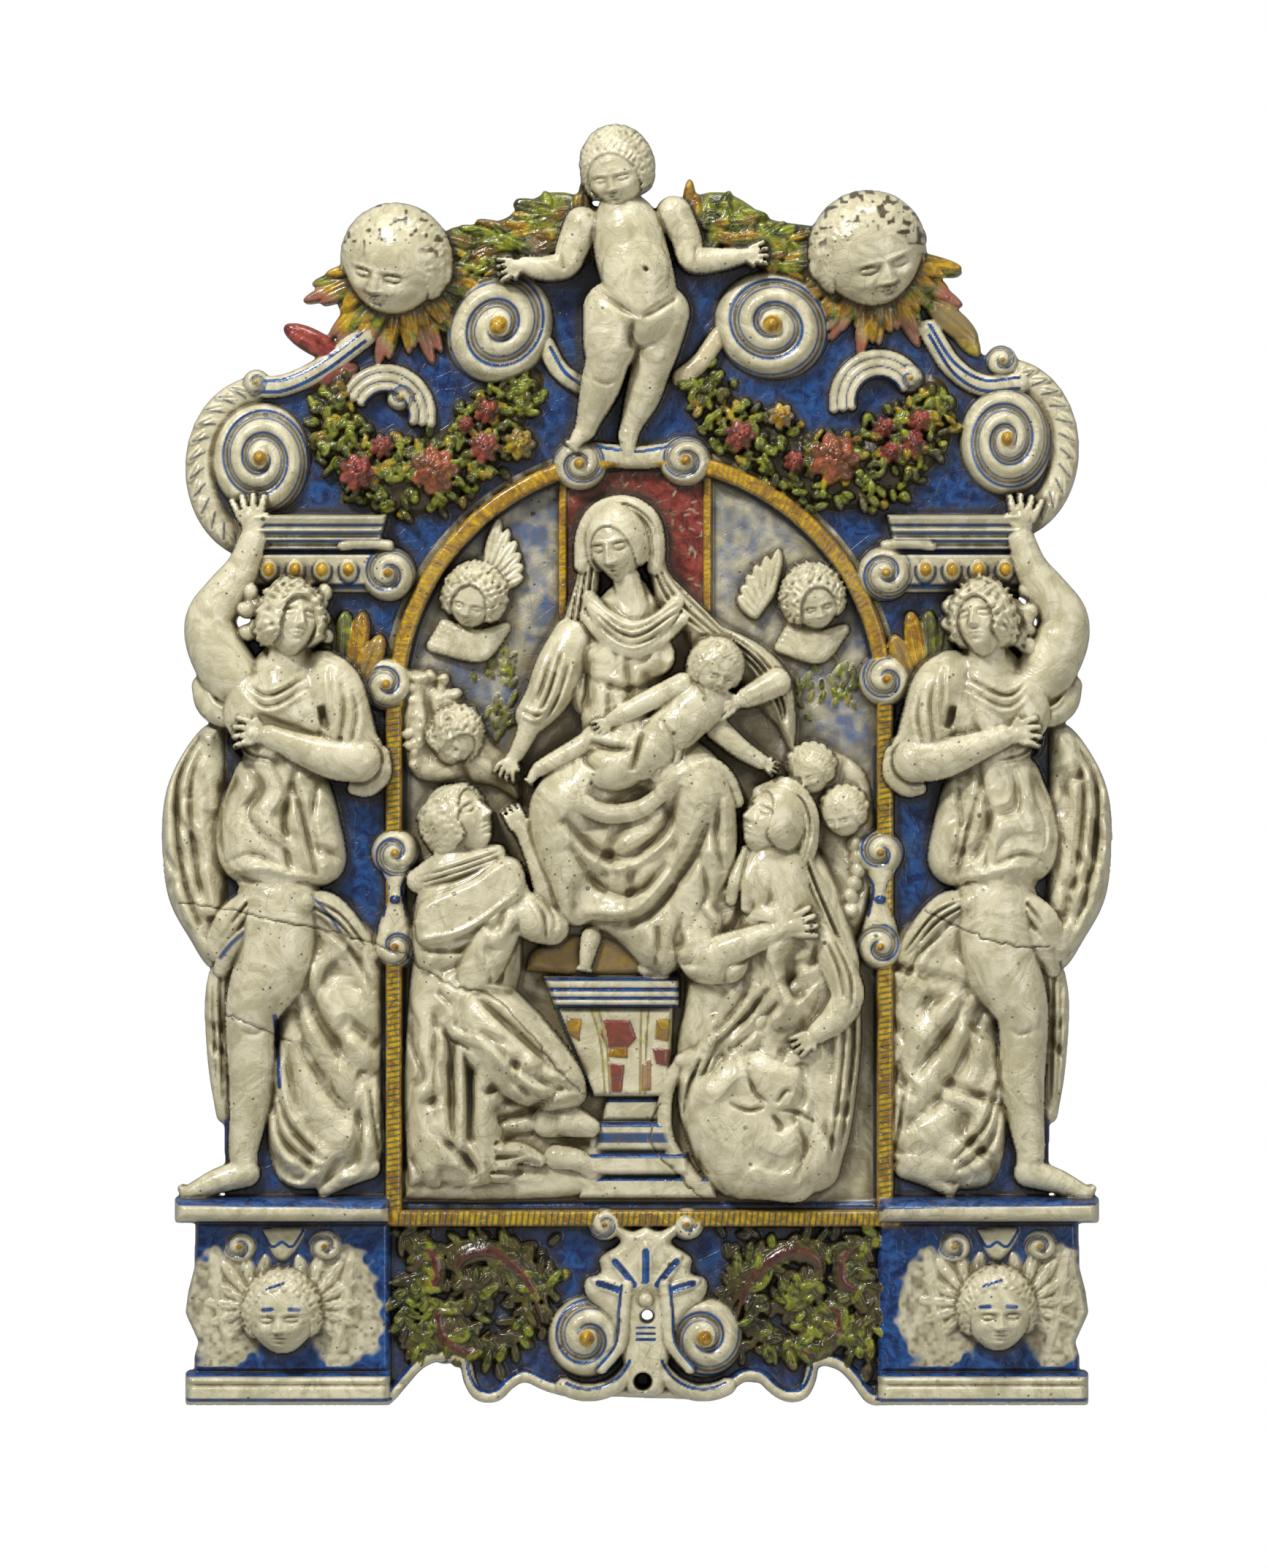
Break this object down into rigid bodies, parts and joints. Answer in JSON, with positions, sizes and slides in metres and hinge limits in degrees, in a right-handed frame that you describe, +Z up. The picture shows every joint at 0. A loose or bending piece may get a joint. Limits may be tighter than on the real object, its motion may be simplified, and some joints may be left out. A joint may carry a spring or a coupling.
{
  "type": "decorative wall plaque",
  "caption": "High-relief wall plaque in tin-glazed earthenware: a seated mother and child under a round arch, with kneeling figures, supporting angels and a scrolled crest.",
  "frame": {"origin": "middle of the flat back, on the centre line, half way up the height", "axes": "+Z up along the height, +X to the viewer's right along the width, +Y from the face back into the wall"},
  "size_m": [0.4017, 0.0472, 0.5406],
  "materials": {
    "maiolica": "glossy"
  },
  "bodies": {
    "root": {"plaque": "maiolica"}
  },
  "joints": []
}
